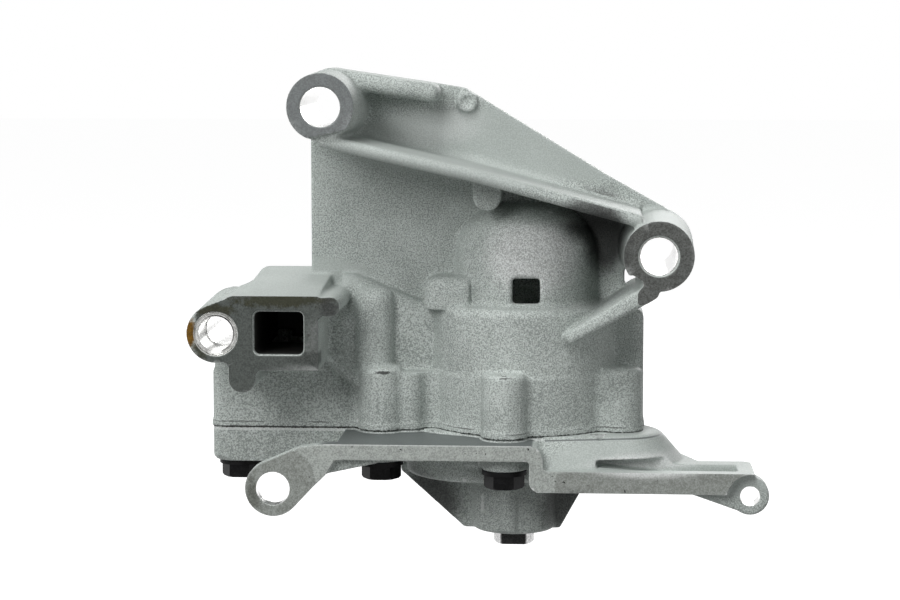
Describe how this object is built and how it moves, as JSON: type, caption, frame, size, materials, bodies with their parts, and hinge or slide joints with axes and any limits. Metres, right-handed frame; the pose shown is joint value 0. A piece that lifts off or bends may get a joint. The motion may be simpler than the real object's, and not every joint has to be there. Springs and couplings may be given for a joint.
{
  "type": "engine oil pump",
  "caption": "Engine oil pump with a trochoid rotor set, cast housing with mounting lugs, arm and dome, and a cast cover with a tray.",
  "frame": {"origin": "centre of the drive shaft at the end of its tang, the lowest point of the pump", "axes": "+Z along the drive shaft up into the housing, -Y out of the machined faces that meet the engine block, X along the row of lugs"},
  "size_m": [0.1646, 0.0742, 0.1401],
  "materials": {
    "cast_aluminium": "bead-blasted die-cast surface, machined on the mounting faces",
    "ground_steel": "ground bright steel",
    "sintered_steel": "sintered steel with a fine pored surface",
    "bush_bronze": "bearing bronze",
    "spring_steel": "dark tempered spring steel",
    "black_bolt_steel": "black oxide on steel",
    "soft_aluminium": "soft smooth aluminium",
    "plated_cup": "yellow passivated steel",
    "seal_rubber": "oil-proof black rubber"
  },
  "bodies": {
    "pump_body": {"pump_housing": "cast_aluminium", "pump_cover": "cast_aluminium", "upper_shaft_bush": "bush_bronze", "lower_shaft_bush": "bush_bronze", "shaft_thrust_washer": "ground_steel", "cover_bolts": "black_bolt_steel", "cover_dowels": "ground_steel", "left_ring_dowel": "ground_steel", "relief_spring": "spring_steel", "relief_spring_seat": "ground_steel", "relief_plug": "black_bolt_steel", "relief_plug_washer": "soft_aluminium", "core_plug": "plated_cup", "inlet_seal_ring": "seal_rubber"},
    "drive_train": {"drive_shaft": "ground_steel", "inner_rotor": "sintered_steel", "rotor_drive_pin": "ground_steel", "shaft_retaining_ring": "spring_steel"},
    "outer_rotor_body": {"outer_rotor": "sintered_steel"},
    "relief_valve": {"relief_piston": "ground_steel"}
  },
  "joints": [
    {"name": "shaft_spin", "type": "hinge", "parent": "pump_body", "child": "drive_train", "pos_m": [0, 0, 0.044], "axis": [0, 0, 1], "continuous": true},
    {"name": "outer_rotor_spin", "type": "hinge", "parent": "pump_body", "child": "outer_rotor_body", "pos_m": [0.0026, 0, 0.044], "axis": [0, 0, 1], "continuous": true},
    {"name": "relief_slide", "type": "slide", "parent": "pump_body", "child": "relief_valve", "axis": [0, 0, -1], "range_m": [0, 0.0075], "stiffness_N_per_m": 2000, "springref_m": -0.01, "deforming": ["relief_spring"]}
  ],
  "couplings": [
    {"joint": "outer_rotor_spin", "follows": "shaft_spin", "ratio": 0.85714}
  ]
}
